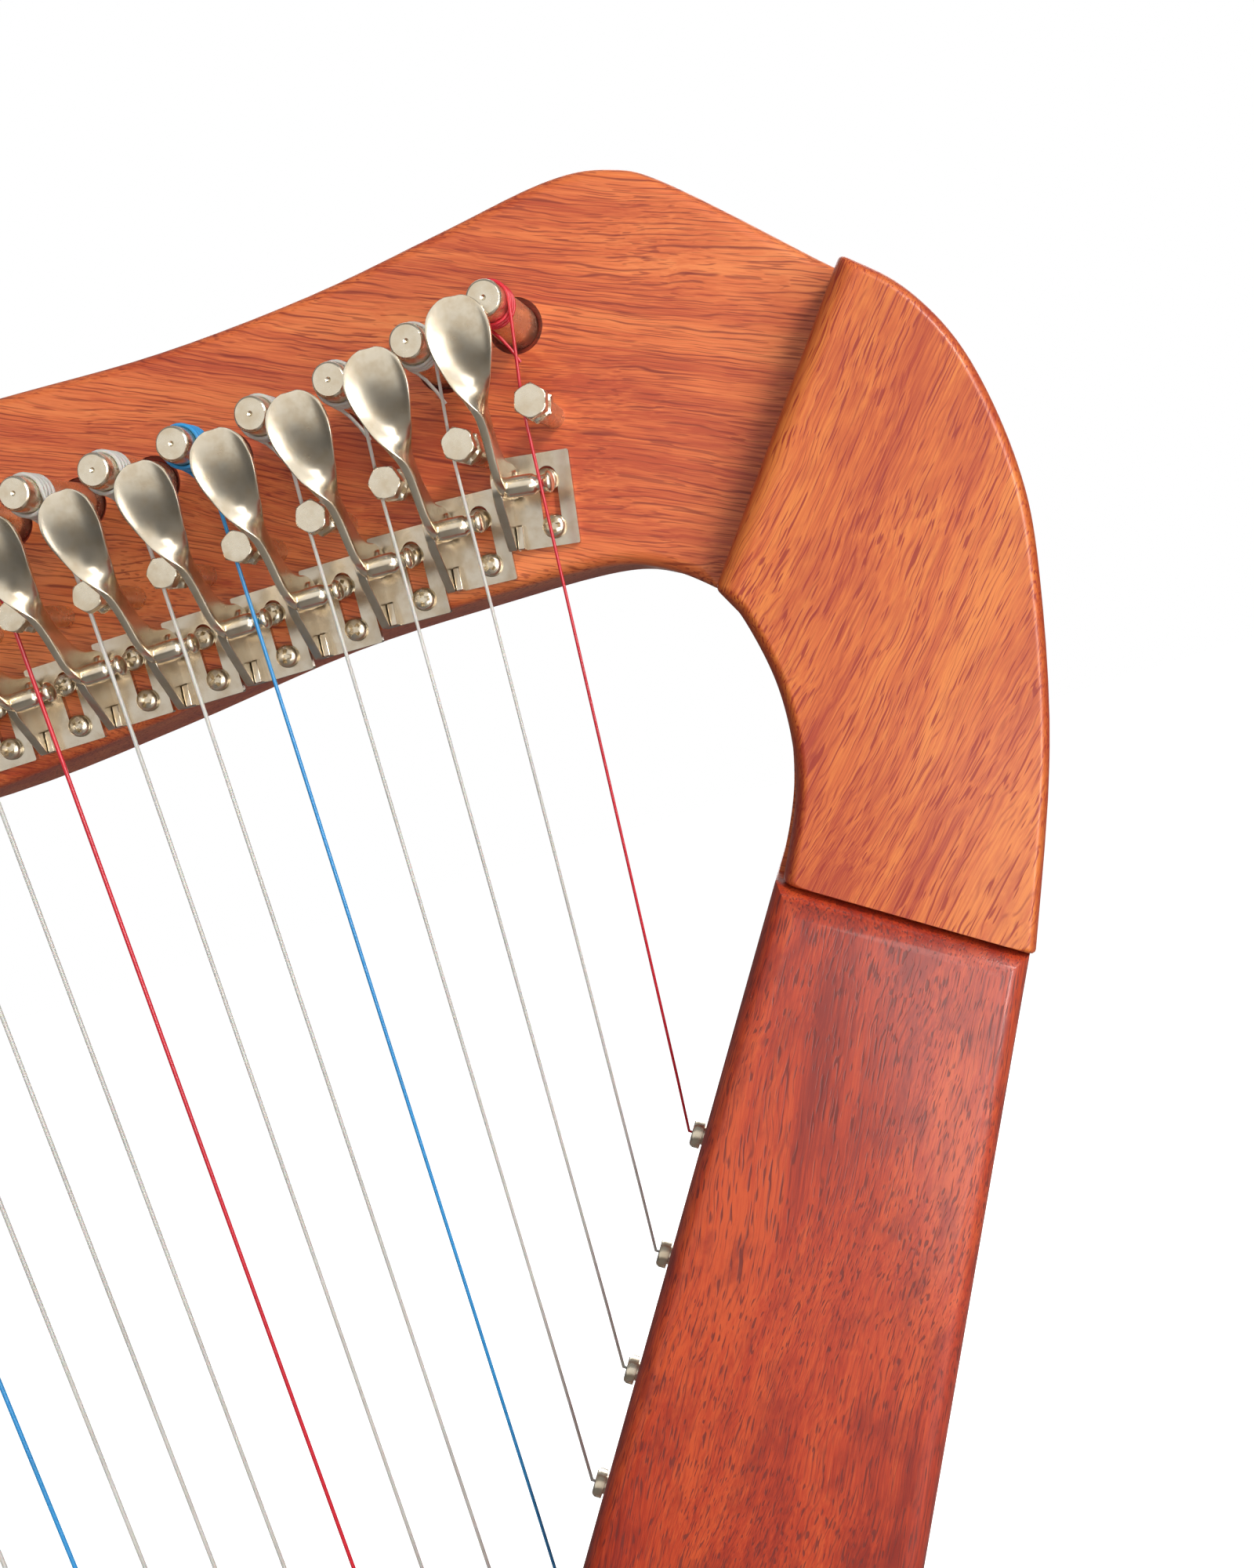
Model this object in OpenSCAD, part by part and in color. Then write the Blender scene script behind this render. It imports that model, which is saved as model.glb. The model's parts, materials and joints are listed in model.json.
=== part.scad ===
// Small lever harp: nylon strings run from a leaning soundbox up to a curved neck.
// +X runs from the pillar towards the soundbox, +Y away from the string side, +Z up.
// The origin is on the floor, under the middle of the harp.

/* [Strings] */
// Number of strings, counted from the shortest
string_count = 22; // [7:1:22]
// Distance between string holes along the soundboard
foot_pitch = 24.5; // [23:0.1:26]
// Radius of the shortest string
string_r = 0.32; // [0.25:0.01:0.35]
// Radius gained from each string to the next
string_r_step = 0.014; // [0:0.001:0.015]
// Distance from the first bridge pin down to its lever bar
lever_drop_min = 12; // [11.5:0.1:13]

/* [Soundbox] */
// Lean of the soundboard from vertical, in degrees
board_lean = 33; // [32:0.5:34]
// Width of the soundbox at its top end
box_top_w = 52; // [50:1:56]
// Width gained by the soundbox for each millimetre along it
box_flare = 0.193; // [0.15:0.001:0.2]
// Depth of the soundbox at its top end
box_top_d = 42.4; // [40:0.1:44]
// Depth gained by the soundbox for each millimetre along it
box_deepen = 0.11; // [0.09:0.001:0.12]
// Thickness of the soundbox side panels
side_t = 7; // [5:0.5:8]
// Thickness of the soundboard
board_t = 4; // [3:0.5:5]
// Thickness of the back panel
back_t = 4; // [3:0.5:5]

/* [Neck and pillar] */
// Thickness of the neck board
neck_t = 26; // [24:1:28]
// Thickness of each shoulder cheek
cheek_t = 12; // [10:0.5:13]
// Thickness of the pillar, front to back
pillar_t = 26; // [24:1:28]

/* [Base] */
// Thickness of the base board
base_t = 22; // [18:1:26]
// Height of the rubber feet
foot_h = 8; // [6:1:10]

/* [Tuning and bridge pins] */
// Radius of a tuning pin inside the neck
tuner_r = 3.7; // [3.5:0.1:3.9]
// Radius of a tuning pin at its tip
tuner_tip_r = 2.9; // [2.6:0.1:3.2]
// Reach of a tuning pin in front of the neck
tuner_reach = 21.3; // [20:0.1:21.5]
// Radius of a bridge pin's shank
bridge_r = 1.95; // [1.8:0.05:2.1]
// Radius of a bridge pin's hexagons, to the corners
hex_r = 2.9; // [2.7:0.1:3]

/* [Levers] */
// Height of a lever's fretting bar above the neck
bar_h = 10.75; // [10.6:0.05:11]
// Radius of the fretting bar
bar_r = 1.8; // [1.6:0.1:1.8]
// Radius of the rivet a lever turns on
rivet_r = 1.15; // [1:0.05:1.3]
// Thickness of a lever's arm
arm_t = 1.5; // [1.4:0.1:1.6]
// Thickness of the bracket sheet
sheet_t = 1; // [0.8:0.1:1]

/* [Hidden] */
$fn = 48;
run_gap = 0.05;           // radial running clearance of every turning part
rest_gap = 0.02;          // radial clearance of parts that only sit in a hole
levers = [for (k = [0:string_count - 1]) str("lever_", k < 9 ? "0" : "", k + 1)];
tuners = [for (k = [0:string_count - 1]) str("tuning_pin_", k < 9 ? "0" : "", k + 1)];

face_y = -neck_t / 2;     // string side of the neck
base_top = foot_h + base_t;

// Directions in the plane of the strings: along the soundboard, into the box, and their points.
along = [sin(board_lean), 0, cos(board_lean)];
into = [cos(board_lean), 0, -sin(board_lean)];
foot_1 = [136.3, 0, 509.4];
box_top_s = 54.5;                                    // top end of the box, along the soundboard
box_low_s = (base_top - foot_1[2]) / along[2];       // where the soundboard meets the base
function box_half_w(s) = (box_top_w + (box_top_s - s) * box_flare) / 2;
function box_depth(s) = box_top_d + (box_top_s - s) * box_deepen;

// String geometry. Strings are counted from 0, the shortest.
function string_radius(k) = string_r + string_r_step * k;
function foot(k) = foot_1 - foot_pitch * k * along;
function bridge_xz(k) = [153.4 - 13.2 * k - 0.085 * k * k, 0,
                         640 - 2.7 * k + 0.38 * k * k - 0.0085 * k * k * k];
function tuner_xz(k) = bridge_xz(k) + [-1.4 - 0.42 * k, 0, 16.4 + 0.42 * k];
function lean(k) = let (d = bridge_xz(k) - foot(k)) atan2(d[0], d[2]);
function string_len(k) = norm(bridge_xz(k) - foot(k));
function lever_drop(k) = lever_drop_min + 1.4 * max(0, k - 6);
groove_r = 1.25;                                     // radius of the bar inside its string groove
pin_groove_r = 1.6;                                  // radius of a bridge pin at its string
function string_h_at_bar(k) = bar_h + groove_r + run_gap + string_radius(k);
mouth_t = -2.5;                                      // where a string bends, in front of the board
function mouth(k) = foot(k) + mouth_t * into;
function bridge_y(k) = -(string_h_at_bar(k) - face_y) / (1 - lever_drop(k) / string_len(k));
function left_of_string(k) = [-cos(lean(k)), 0, sin(lean(k))];
function string_at_bridge(k) =
    bridge_xz(k) + [0, bridge_y(k), 0] + (pin_groove_r + run_gap + string_radius(k)) * left_of_string(k);
function string_at_bar(k) =
    let (top = string_at_bridge(k), low = mouth(k))
    top + (low - top) * lever_drop(k) / norm(low - top);
function bracket_lean(k) = 0.6 * lean(k) + 6 * exp(-k);

// Tuning pin: a taper in front of the neck, with the string's coil near its tip.
coil_turns = 3;
coil_h = 14.2;                                       // lower end of the coil above the neck
function tuner_r_at(h) = tuner_r + (tuner_tip_r - tuner_r) * h / tuner_reach;
function coil_r(k) = tuner_r_at(coil_h - 1) + run_gap + string_radius(k);
function coil_len(k) = 2 * coil_turns * string_radius(k);
function coil_start(k) =
    let (from = string_at_bridge(k), axis = tuner_xz(k),
         d = [axis[0] - from[0], axis[2] - from[2]],
         turn = asin(coil_r(k) / norm(d)), heading = atan2(d[1], d[0]) - turn,
         reach = norm(d) * cos(turn))
    [from[0] + reach * cos(heading), face_y - coil_h, from[2] + reach * sin(heading)];

// A smooth curve through a list of points, with the given number of steps between them.
function curve_point(p, i, t) =
    let (last = len(p) - 1, a = p[max(i - 1, 0)], b = p[i], c = p[i + 1], d = p[min(i + 2, last)])
    ((2 * b) + (c - a) * t + (2 * a - 5 * b + 4 * c - d) * t * t + (3 * b - a - 3 * c + d) * t * t * t) / 2;
function curve(p, steps = 5) =
    concat([for (i = [0:len(p) - 2], j = [0:steps - 1]) curve_point(p, i, j / steps)], [p[len(p) - 1]]);
function reversed(p) = [for (i = [len(p) - 1:-1:0]) p[i]];

// Outline of the harp's top, as points [x, z].
neck_top_line = curve([[-219, 640], [-221, 690], [-210, 716], [-185, 725], [-161, 722], [-100, 706],
                       [-33, 691], [20, 682], [61.4, 677.5], [90, 674.7], [119, 674.3], [144, 675.9],
                       [164, 677.3], [175, 675.2], [184, 669], [205.5, 646.5]]);
outer_line = curve([[205.5, 646.5], [213.6, 638], [219.5, 625], [221.9, 606], [220, 588.6],
                    [213.5, 561.5], [201.9, 530.4]]);
inner_line = curve([[166.9, 554.2], [173.9, 569], [176, 584], [174, 597.5], [171.2, 603.5]]);
core_inner_line = curve([[163.6, 551.2], [169.4, 560.4], [173.9, 571], [176, 584], [174, 597.5],
                         [171.2, 603.5]]);
neck_under_line = curve([[171.2, 603.5], [164, 609.5], [153.5, 613.6], [129, 615.2], [99, 615.8],
                         [60, 613], [20, 611.5], [-33, 614.5], [-100, 621], [-150, 625.5], [-168, 622],
                         [-177, 612], [-180, 600]]);
pillar_front_line = curve([[-219, 640], [-217, 600], [-220, 420], [-221.5, 250], [-218, base_top]]);
pillar_inner_line = curve([[-180, 600], [-184.5, 420], [-185, 250], [-180, base_top]]);
pillar_top_z = 600;

// A point on the side view becomes a block of thickness t, from y0 away from the strings.
module side_block(points, y0, t) {
    translate([0, y0 + t, 0]) rotate([90, 0, 0]) linear_extrude(t) polygon(points);
}

// Places its children in the box's own axes: X along the soundboard, Z into the box.
module on_board() {
    translate(foot_1) rotate([0, board_lean - 90, 0]) mirror([0, 0, 1]) children();
}

// Places its children on the neck at a point: X across the strings, Y up them, Z out of the neck.
module on_neck(point, turn) {
    translate([point[0], face_y, point[2]]) rotate([90, 0, 0]) rotate([0, 0, -turn]) children();
}

// A round rod between two points.
module rod(a, b, r) {
    d = b - a;
    translate(a) rotate([0, acos(d[2] / norm(d)), atan2(d[1], d[0])]) cylinder(h = norm(d), r = r, $fn = 24);
}

// ---------- woodwork ----------

module seam_cut() {
    // Everything below the seam between shoulder and soundbox
    on_board() translate([-400, -100, -100]) cube([400 + box_top_s, 200, 300]);
}

module neck() {
    color("chocolate") difference() {
        side_block(concat(neck_top_line, outer_line, core_inner_line, neck_under_line,
                          [[-217, pillar_top_z]]), face_y, neck_t);
        seam_cut();
        for (k = [0:string_count - 1]) {
            on_neck(tuner_xz(k), 0) translate([0, 0, -neck_t - 1])
                cylinder(h = neck_t + 2, r = tuner_r + run_gap);
            on_neck(bridge_xz(k), 0) translate([0, 0, -bridge_depth - 1])
                cylinder(h = bridge_depth + 2, r = bridge_r + rest_gap);
            on_neck(string_at_bar(k), bracket_lean(k)) for (place = screw_places)
                translate([place[0], place[1], -screw_depth - 1])
                    cylinder(h = screw_depth + 2, r = screw_r + rest_gap, $fn = 24);
        }
    }
}

module shoulder_cheeks() {
    color("sandybrown") difference() {
        for (y0 = [face_y - cheek_t, -face_y])
            side_block(concat(outer_line, inner_line), y0, cheek_t);
        seam_cut();
    }
}

module pillar() {
    color("chocolate") difference() {
        side_block(concat(pillar_front_line, reversed(pillar_inner_line)), -pillar_t / 2, pillar_t);
        translate([-300, -50, pillar_top_z]) cube([200, 100, 100]);
    }
}

// ---------- soundbox ----------

// Trapezium seen from the front, narrowed by an inset, and the box's side outline.
module box_front_outline(inset, low_s, top_s) {
    polygon([[low_s, -box_half_w(low_s) + inset], [top_s, -box_half_w(top_s) + inset],
             [top_s, box_half_w(top_s) - inset], [low_s, box_half_w(low_s) - inset]]);
}

module box_slab(front, back_inset, inset, low_s = box_low_s, top_s = box_top_s) {
    // The part of the box from a depth in front to a depth measured from its back
    difference() {
        on_board() intersection() {
            linear_extrude(box_depth(box_low_s)) box_front_outline(inset, low_s, top_s);
            translate([0, 200, 0]) rotate([90, 0, 0]) linear_extrude(400)
                polygon([[low_s, front], [top_s, front], [top_s, box_depth(top_s) - back_inset],
                         [low_s, box_depth(low_s) - back_inset]]);
        }
        translate([-400, -200, -200 + base_top]) cube([600, 400, 200]);
    }
}

module soundbox_sides() {
    color("firebrick") difference() {
        box_slab(0, 0, 0);
        box_slab(-1, -1, side_t, box_low_s - 20, box_top_s + 1);
    }
}

module soundboard() {
    color("peru") difference() {
        intersection() {
            box_slab(0, 0, side_t);
            on_board() translate([box_low_s - 1, -200, 0]) cube([box_top_s - box_low_s + 2, 400, board_t]);
        }
        for (k = [0:string_count - 1]) string_hole(k);
    }
}

rib_t = 6;
rib_w = 26;
module string_hole(k) {
    on_board() translate([-foot_pitch * k, 0, -1])
        cylinder(h = board_t + rib_t + 2, r = ferrule_r + rest_gap, $fn = 24);
}

sound_hole_s = [-40, -190, -340];
module soundbox_back() {
    color("firebrick") difference() {
        box_slab(0, 0, side_t);
        box_slab(-1, back_t, side_t - 1, box_low_s - 20, box_top_s + 1);
        for (s = sound_hole_s) on_board() translate([s, 0, box_depth(s) - 30])
            for (end = [-1, 1]) half_sound_hole(end, s);
    }
}

module half_sound_hole(end, s) {
    // Half of an oblong sound hole: a round end and half of the straight part
    hole_r = 0.27 * box_half_w(s) + 8;
    translate([end * 18, 0, 0]) cylinder(h = 60, r = hole_r);
    translate([end > 0 ? 0 : -18, -hole_r, 0]) cube([18, 2 * hole_r, 60]);
}

brace_s = [-115, -265, -415];
module soundbox_frame() {
    color("burlywood") {
        // Top block, under the shoulder
        box_slab(board_t, back_t, side_t + rest_gap, 18, box_top_s);
        // Tail block, on the base
        intersection() {
            box_slab(board_t, back_t, side_t + rest_gap);
            translate([-400, -200, base_top]) cube([800, 400, 34]);
        }
        // Rib behind the string holes
        difference() {
            on_board() translate([box_low_s + 50, -rib_w / 2, board_t])
                cube([box_top_s - box_low_s - 86, rib_w, rib_t]);
            for (k = [0:string_count - 1]) string_hole(k);
        }
        // Cross braces on the back panel
        for (s = brace_s) intersection() {
            box_slab(0, back_t, side_t + rest_gap);
            on_board() translate([s - 6, -200, box_depth(s) - back_t - 12]) cube([12, 400, 30]);
        }
    }
}

// ---------- base ----------

base_outline = curve([[-221.9, 0], [-221, 34], [-216.5, 66], [-199, 88], [-168, 96], [-110, 98], [-50, 97],
                      [-10, 88], [10, 62], [16, 30], [17, 0]]);
foot_places = [[-200, 64], [-8, 62]];
foot_r = 12;
module base() {
    color("chocolate") translate([0, 0, foot_h]) linear_extrude(base_t)
        polygon(concat(base_outline, [for (p = reversed(base_outline)) if (p[1] > 1) [p[0], -p[1]]]));
}

module rubber_feet() {
    color("dimgray") for (place = foot_places, side = [-1, 1])
        translate([place[0], side * place[1], 0]) rotate_extrude()
            polygon([[0, 0], [foot_r - 2, 0], [foot_r, 2], [foot_r, foot_h], [0, foot_h]]);
}

// ---------- pins, ferrules and strings ----------

bridge_depth = 14;
hex_t = 2.1;
groove_half = 1.15;
module bridge_pin(k) {
    string_h = face_y - string_at_bridge(k)[1];
    on_neck(bridge_xz(k), 12) {
        translate([0, 0, -bridge_depth]) cylinder(h = bridge_depth + string_h - 1.5, r = bridge_r);
        translate([0, 0, string_h - 3]) cylinder(h = 6, r = pin_groove_r);
        translate([0, 0, string_h + groove_half]) cylinder(h = hex_t, r = hex_r, $fn = 6);
        translate([0, 0, string_h - groove_half - 1.5]) cylinder(h = 1.5, r = hex_r, $fn = 6);
    }
}

module bridge_pins() {
    color("silver") for (k = [0:string_count - 1]) bridge_pin(k);
}

ferrule_r = 1.75;
module string_ferrules() {
    color("silver") for (k = [0:string_count - 1]) on_board() translate([-foot_pitch * k, 0, 0])
        rotate_extrude() polygon([[1, -2], [2.3, -2], [2.6, -1.7], [2.6, 0], [ferrule_r, 0],
                                  [ferrule_r, board_t + 2], [1, board_t + 2]]);
}

knot_r = 1.7;
module harp_string(k) {
    r = string_radius(k);
    knot = foot(k) + (board_t + rib_t + knot_r) * into;
    rod(knot, mouth(k), 0.9);
    translate(knot) sphere(r = knot_r, $fn = 24);
    translate(mouth(k)) sphere(r = 1, $fn = 24);
    rod(mouth(k), string_at_bridge(k), r);
    translate(string_at_bridge(k)) sphere(r = r * 1.15, $fn = 24);
    rod(string_at_bridge(k), coil_start(k), r * 0.96);
    // The coil, as one sleeve round the pin
    on_neck(tuner_xz(k), 0) translate([0, 0, coil_h - r * 1.3]) difference() {
        cylinder(h = coil_len(k), r = coil_r(k) + r);
        translate([0, 0, -1]) cylinder(h = coil_len(k) + 2, r = coil_r(k) - r);
    }
}

// String colours mark the notes: every C is red and every F is blue.
function is_c(k) = k % 7 == 0;
function is_f(k) = k % 7 == 4;
module strings_red() {
    color("red") for (k = [0:string_count - 1]) if (is_c(k)) harp_string(k);
}
module strings_blue() {
    color("dodgerblue") for (k = [0:string_count - 1]) if (is_f(k)) harp_string(k);
}
module strings_clear() {
    color("gainsboro") for (k = [0:string_count - 1]) if (!is_c(k) && !is_f(k)) harp_string(k);
}

head_square = 5;
tuner_back = 20;
module tuning_pin(k) {
    color("silver") on_neck(tuner_xz(k), 0) {
        cylinder(h = tuner_reach, r1 = tuner_r, r2 = tuner_tip_r);
        translate([0, 0, -neck_t - 5]) cylinder(h = neck_t + 5, r = tuner_r);
        translate([-head_square / 2, -head_square / 2, -neck_t - tuner_back])
            cube([head_square, head_square, tuner_back]);
    }
}

// ---------- levers ----------
// A lever's own axes start where its string crosses its bar: X across, Y up, Z out of the neck.

pivot = [1.7, 4.6];                        // the rivet, as [up, out]
arm_x = [-7.2, -7.2 + arm_t];              // the arm, across the string
screw_places = [[-1.1, 1.4], [-0.8, -6.3]];
screw_r = 1;
screw_depth = 9;
plate_x = [-8.3, 3.2];
plate_y = [-9.6, 6.2];
slot_half_w = 1.6;

// A plate with its outline given as [up, out], standing across the string from x0
module upright(x0, t, points) {
    translate([x0, 0, 0]) rotate([90, 0, 90]) linear_extrude(t) polygon(points);
}

module cross_rod(x0, x1, at, r) {
    translate([x0, at[0], at[1]]) rotate([0, 90, 0]) cylinder(h = x1 - x0, r = r, $fn = 32);
}

module bracket(k) {
    on_neck(string_at_bar(k), bracket_lean(k)) {
        difference() {
            translate([plate_x[0], plate_y[0], 0])
                cube([plate_x[1] - plate_x[0], plate_y[1] - plate_y[0], sheet_t]);
            translate([-1 - slot_half_w, -6.3, -1]) cube([2 * slot_half_w, 8.6, 4]);
            for (y = [-6.3, 2.3]) translate([-1, y, -1]) cylinder(h = 4, r = slot_half_w, $fn = 32);
        }
        upright(plate_x[0], sheet_t, [[plate_y[0], 0], [4.4, 0], [3.4, 8.2], [1.4, 9.4], [-2.4, 8.6],
                                      [plate_y[0], 3.2]]);
        upright(arm_x[0], 1.2, [[plate_y[0], 0], [-5.4, 0], [-5.4, 2.6], [plate_y[0], 3.4]]);
        cross_rod(plate_x[0] - 0.7, plate_x[0] + 0.5, pivot, rivet_r + 0.8);
        cross_rod(plate_x[0], arm_x[1] + 0.6, pivot, rivet_r);
        cross_rod(arm_x[1] + 0.1, arm_x[1] + 0.6, pivot, rivet_r + 0.6);
    }
}

module lever_brackets() {
    color("silver") for (k = [0:string_count - 1]) bracket(k);
}

module pan_screw() {
    translate([0, 0, -screw_depth]) cylinder(h = screw_depth + sheet_t + 0.5, r = screw_r, $fn = 24);
    difference() {
        translate([0, 0, sheet_t]) rotate_extrude()
            polygon([[0, 0], [2, 0], [2, 0.7], [1.3, 1.3], [0, 1.5]]);
        for (turn = [0, 90]) rotate([0, 0, turn]) translate([-1.1, -0.25, sheet_t + 0.8]) cube([2.2, 0.5, 2]);
    }
}

module lever_screws() {
    color("silver") for (k = [0:string_count - 1], place = screw_places)
        on_neck(string_at_bar(k), bracket_lean(k)) translate([place[0], place[1], 0]) pan_screw();
}

// Teardrop outline of the finger spoon, narrow end towards -Y
function teardrop(steps = 24) = [for (i = [0:steps - 1]) let (a = 360 * i / steps)
    [(3.4 + 1.8 * sin(a) - 0.2 * cos(2 * a)) * cos(a) , 8 * sin(a) + 0.4]];

dome_r = 11;
spoon_at = [21.3, 24.3];                   // top of the dome, as [up, out]
spoon_tilt = 18;
module lever(k) {
    color("gainsboro") on_neck(string_at_bar(k), bracket_lean(k)) {
        difference() {
            union() {
                upright(arm_x[0], arm_t, [[-1.2, 3.8], [-1.9, 10.6], [-1.2, 12.6], [0.6, 13.5], [5.8, 16.6],
                                          [11.4, 19.6], [16.5, 22.4], [17, 21.2], [12.4, 17.4], [7.6, 14],
                                          [4.6, 5.4], [2.2, 2.2]]);
                cross_rod(arm_x[0], arm_x[1], pivot, 3);
            }
            cross_rod(arm_x[0] - 1, arm_x[1] + 1, pivot, rivet_r + run_gap);
        }
        // Fretting bar with its string groove
        translate([arm_x[1] - 0.3, 0, bar_h]) rotate([0, 90, 0]) rotate_extrude($fn = 32)
            polygon([[0, 0], [bar_r, 0], [bar_r, 4.9], [groove_r, 5.2], [groove_r, 6.8], [bar_r, 7.1],
                     [bar_r, 7.4], [1.1, 7.8], [0, 7.8]]);
        // Finger spoon
        translate([(arm_x[0] + arm_x[1]) / 2 - 0.5, spoon_at[0], spoon_at[1]]) rotate([spoon_tilt, 0, 0])
            intersection() {
                translate([0, 0, -dome_r]) difference() {
                    sphere(r = dome_r);
                    sphere(r = dome_r - 1.1);
                }
                translate([0, 0, -6]) linear_extrude(8) polygon(teardrop());
            }
    }
}

neck();
shoulder_cheeks();
pillar();
soundboard();
soundbox_sides();
soundbox_back();
soundbox_frame();
base();
rubber_feet();
bridge_pins();
lever_brackets();
lever_screws();
string_ferrules();
strings_red();
strings_blue();
strings_clear();
for (k = [0:string_count - 1]) {
    lever(k);
    tuning_pin(k);
}
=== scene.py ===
import json
import math

import bmesh
import bpy
from mathutils import Euler, Matrix, Vector


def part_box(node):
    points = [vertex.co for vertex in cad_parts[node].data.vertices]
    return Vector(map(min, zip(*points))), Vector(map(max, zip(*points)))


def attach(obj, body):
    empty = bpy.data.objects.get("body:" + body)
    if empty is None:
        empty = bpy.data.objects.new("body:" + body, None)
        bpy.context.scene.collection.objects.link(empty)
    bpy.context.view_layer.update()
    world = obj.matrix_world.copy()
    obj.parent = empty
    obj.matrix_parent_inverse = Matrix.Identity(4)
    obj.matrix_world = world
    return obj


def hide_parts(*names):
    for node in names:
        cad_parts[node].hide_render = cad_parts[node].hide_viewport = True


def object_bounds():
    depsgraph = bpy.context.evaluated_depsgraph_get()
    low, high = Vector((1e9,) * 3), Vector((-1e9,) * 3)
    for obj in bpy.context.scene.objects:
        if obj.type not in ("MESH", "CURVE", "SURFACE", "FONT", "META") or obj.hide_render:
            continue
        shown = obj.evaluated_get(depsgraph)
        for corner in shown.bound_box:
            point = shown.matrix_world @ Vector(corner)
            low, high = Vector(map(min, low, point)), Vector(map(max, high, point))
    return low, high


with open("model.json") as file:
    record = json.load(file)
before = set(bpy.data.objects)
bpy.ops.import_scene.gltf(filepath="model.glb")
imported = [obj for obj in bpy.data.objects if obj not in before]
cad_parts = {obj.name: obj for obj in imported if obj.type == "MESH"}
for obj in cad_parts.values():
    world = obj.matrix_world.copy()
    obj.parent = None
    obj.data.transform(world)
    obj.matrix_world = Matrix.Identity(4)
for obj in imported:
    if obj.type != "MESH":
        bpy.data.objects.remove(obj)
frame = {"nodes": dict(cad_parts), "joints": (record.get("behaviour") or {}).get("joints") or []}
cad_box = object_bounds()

MM = 0.001
HARP = "harp"           # the body that doesn't move
NEAR = 0.1 * MM         # levels closer than this count as the same
SHARP_TURN = 25         # a turn of this many degrees or more is a corner, a smaller one is part of a curve
joints = {joint["name"]: joint for joint in frame["joints"]}
nodes = frame["nodes"]


# ---------- reading the frame ----------

def merged_copy(node):
    """A bmesh of a CAD node with its split corners joined."""
    bm = bmesh.new()
    bm.from_mesh(nodes[node].data)
    bmesh.ops.remove_doubles(bm, verts=bm.verts, dist=0.002 * MM)
    return bm


def island_boxes(node):
    """Lowest and highest corner of every separate solid in a node, from the treble side."""
    bm = merged_copy(node)
    seen, boxes = set(), []
    for start in bm.verts:
        if start in seen:
            continue
        stack, low, high = [start], start.co.copy(), start.co.copy()
        seen.add(start)
        while stack:
            vert = stack.pop()
            low = Vector(map(min, low, vert.co))
            high = Vector(map(max, high, vert.co))
            for edge in vert.link_edges:
                other = edge.other_vert(vert)
                if other not in seen:
                    seen.add(other)
                    stack.append(other)
        boxes.append((low, high))
    bm.free()
    return sorted(boxes, key=lambda box: -(box[0].x + box[1].x))


def flat_outline(node, axis, level):
    """The outer loop of a node's flat face at a level on one axis, as 3-D points."""
    bm = merged_copy(node)
    faces = {face for face in bm.faces
             if abs(abs(face.normal[axis]) - 1) < 1e-3
             and abs(face.calc_center_median()[axis] - level) < 0.05 * MM}
    border = [edge for edge in bm.edges if sum(face in faces for face in edge.link_faces) == 1]
    left, loops = dict.fromkeys(border), []
    while left:
        edge = next(iter(left))
        del left[edge]
        loop, vert = [edge.verts[0]], edge.verts[1]
        while vert is not loop[0]:
            loop.append(vert)
            edge = next(e for e in vert.link_edges if e in left)
            del left[edge]
            vert = edge.other_vert(vert)
        loops.append([v.co.copy() for v in loop])
    bm.free()

    def length(loop):
        return sum((a - b).length for a, b in sides(loop))
    return max(loops, key=length)


# ---------- outlines ----------

def sides(points):
    """The sides of a closed outline, as pairs of ends."""
    return zip(points, points[1:] + points[:1])


def with_neighbours(points):
    """Each point of a closed outline, between the one before it and the one after it."""
    return zip([points[-1]] + points, points, points[1:] + points[:1])


def corner_turn(a, b, c):
    """How far a path turns at b, in degrees."""
    return math.degrees(abs((b - a).angle_signed(c - b, 0)))


def thin_outline(points, room):
    """Drops the points closer than room to a sharp corner, so the corner's rims don't fold."""
    corners = [b for a, b, c in with_neighbours(points) if corner_turn(a, b, c) > SHARP_TURN]
    return [p for p in points if all(p is corner or (p - corner).length > room for corner in corners)]


def eased_outline(points):
    """Cuts the shallow corners of an outline twice, so its curves don't look faceted."""
    flat_turn, share, reach = 2, 0.25, 4 * MM
    for _ in range(2):
        eased = []
        for a, b, c in with_neighbours(points):
            if flat_turn < corner_turn(a, b, c) < SHARP_TURN:
                eased += [b.lerp(end, min(share, reach / (end - b).length)) for end in (a, c)]
            else:
                eased.append(b)
        points = eased
    return points


def inset_outline(points, amounts):
    """Moves each side of a counter-clockwise outline inwards by its own amount."""
    count, moved = len(points), []
    for i in range(count):
        a, b, c = points[i - 1], points[i], points[(i + 1) % count]
        before, after = (b - a).normalized(), (c - b).normalized()
        n1, n2 = Vector((-before.y, before.x)), Vector((-after.y, after.x))
        m1, m2 = amounts[i - 1], amounts[i]
        det = n1.x * n2.y - n1.y * n2.x
        if abs(det) < 0.4:
            # Nearly in line, where the two sides' own meeting point would run far away
            moved.append(b + (n1 + n2) / (1 + n1.dot(n2)) * (m1 + m2) / 2)
        else:
            d1, d2 = b.dot(n1) + m1, b.dot(n2) + m2
            moved.append(Vector(((d1 * n2.y - d2 * n1.y) / det, (n1.x * d2 - n2.x * d1) / det)))
    return moved


# ---------- mesh tools ----------

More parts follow.
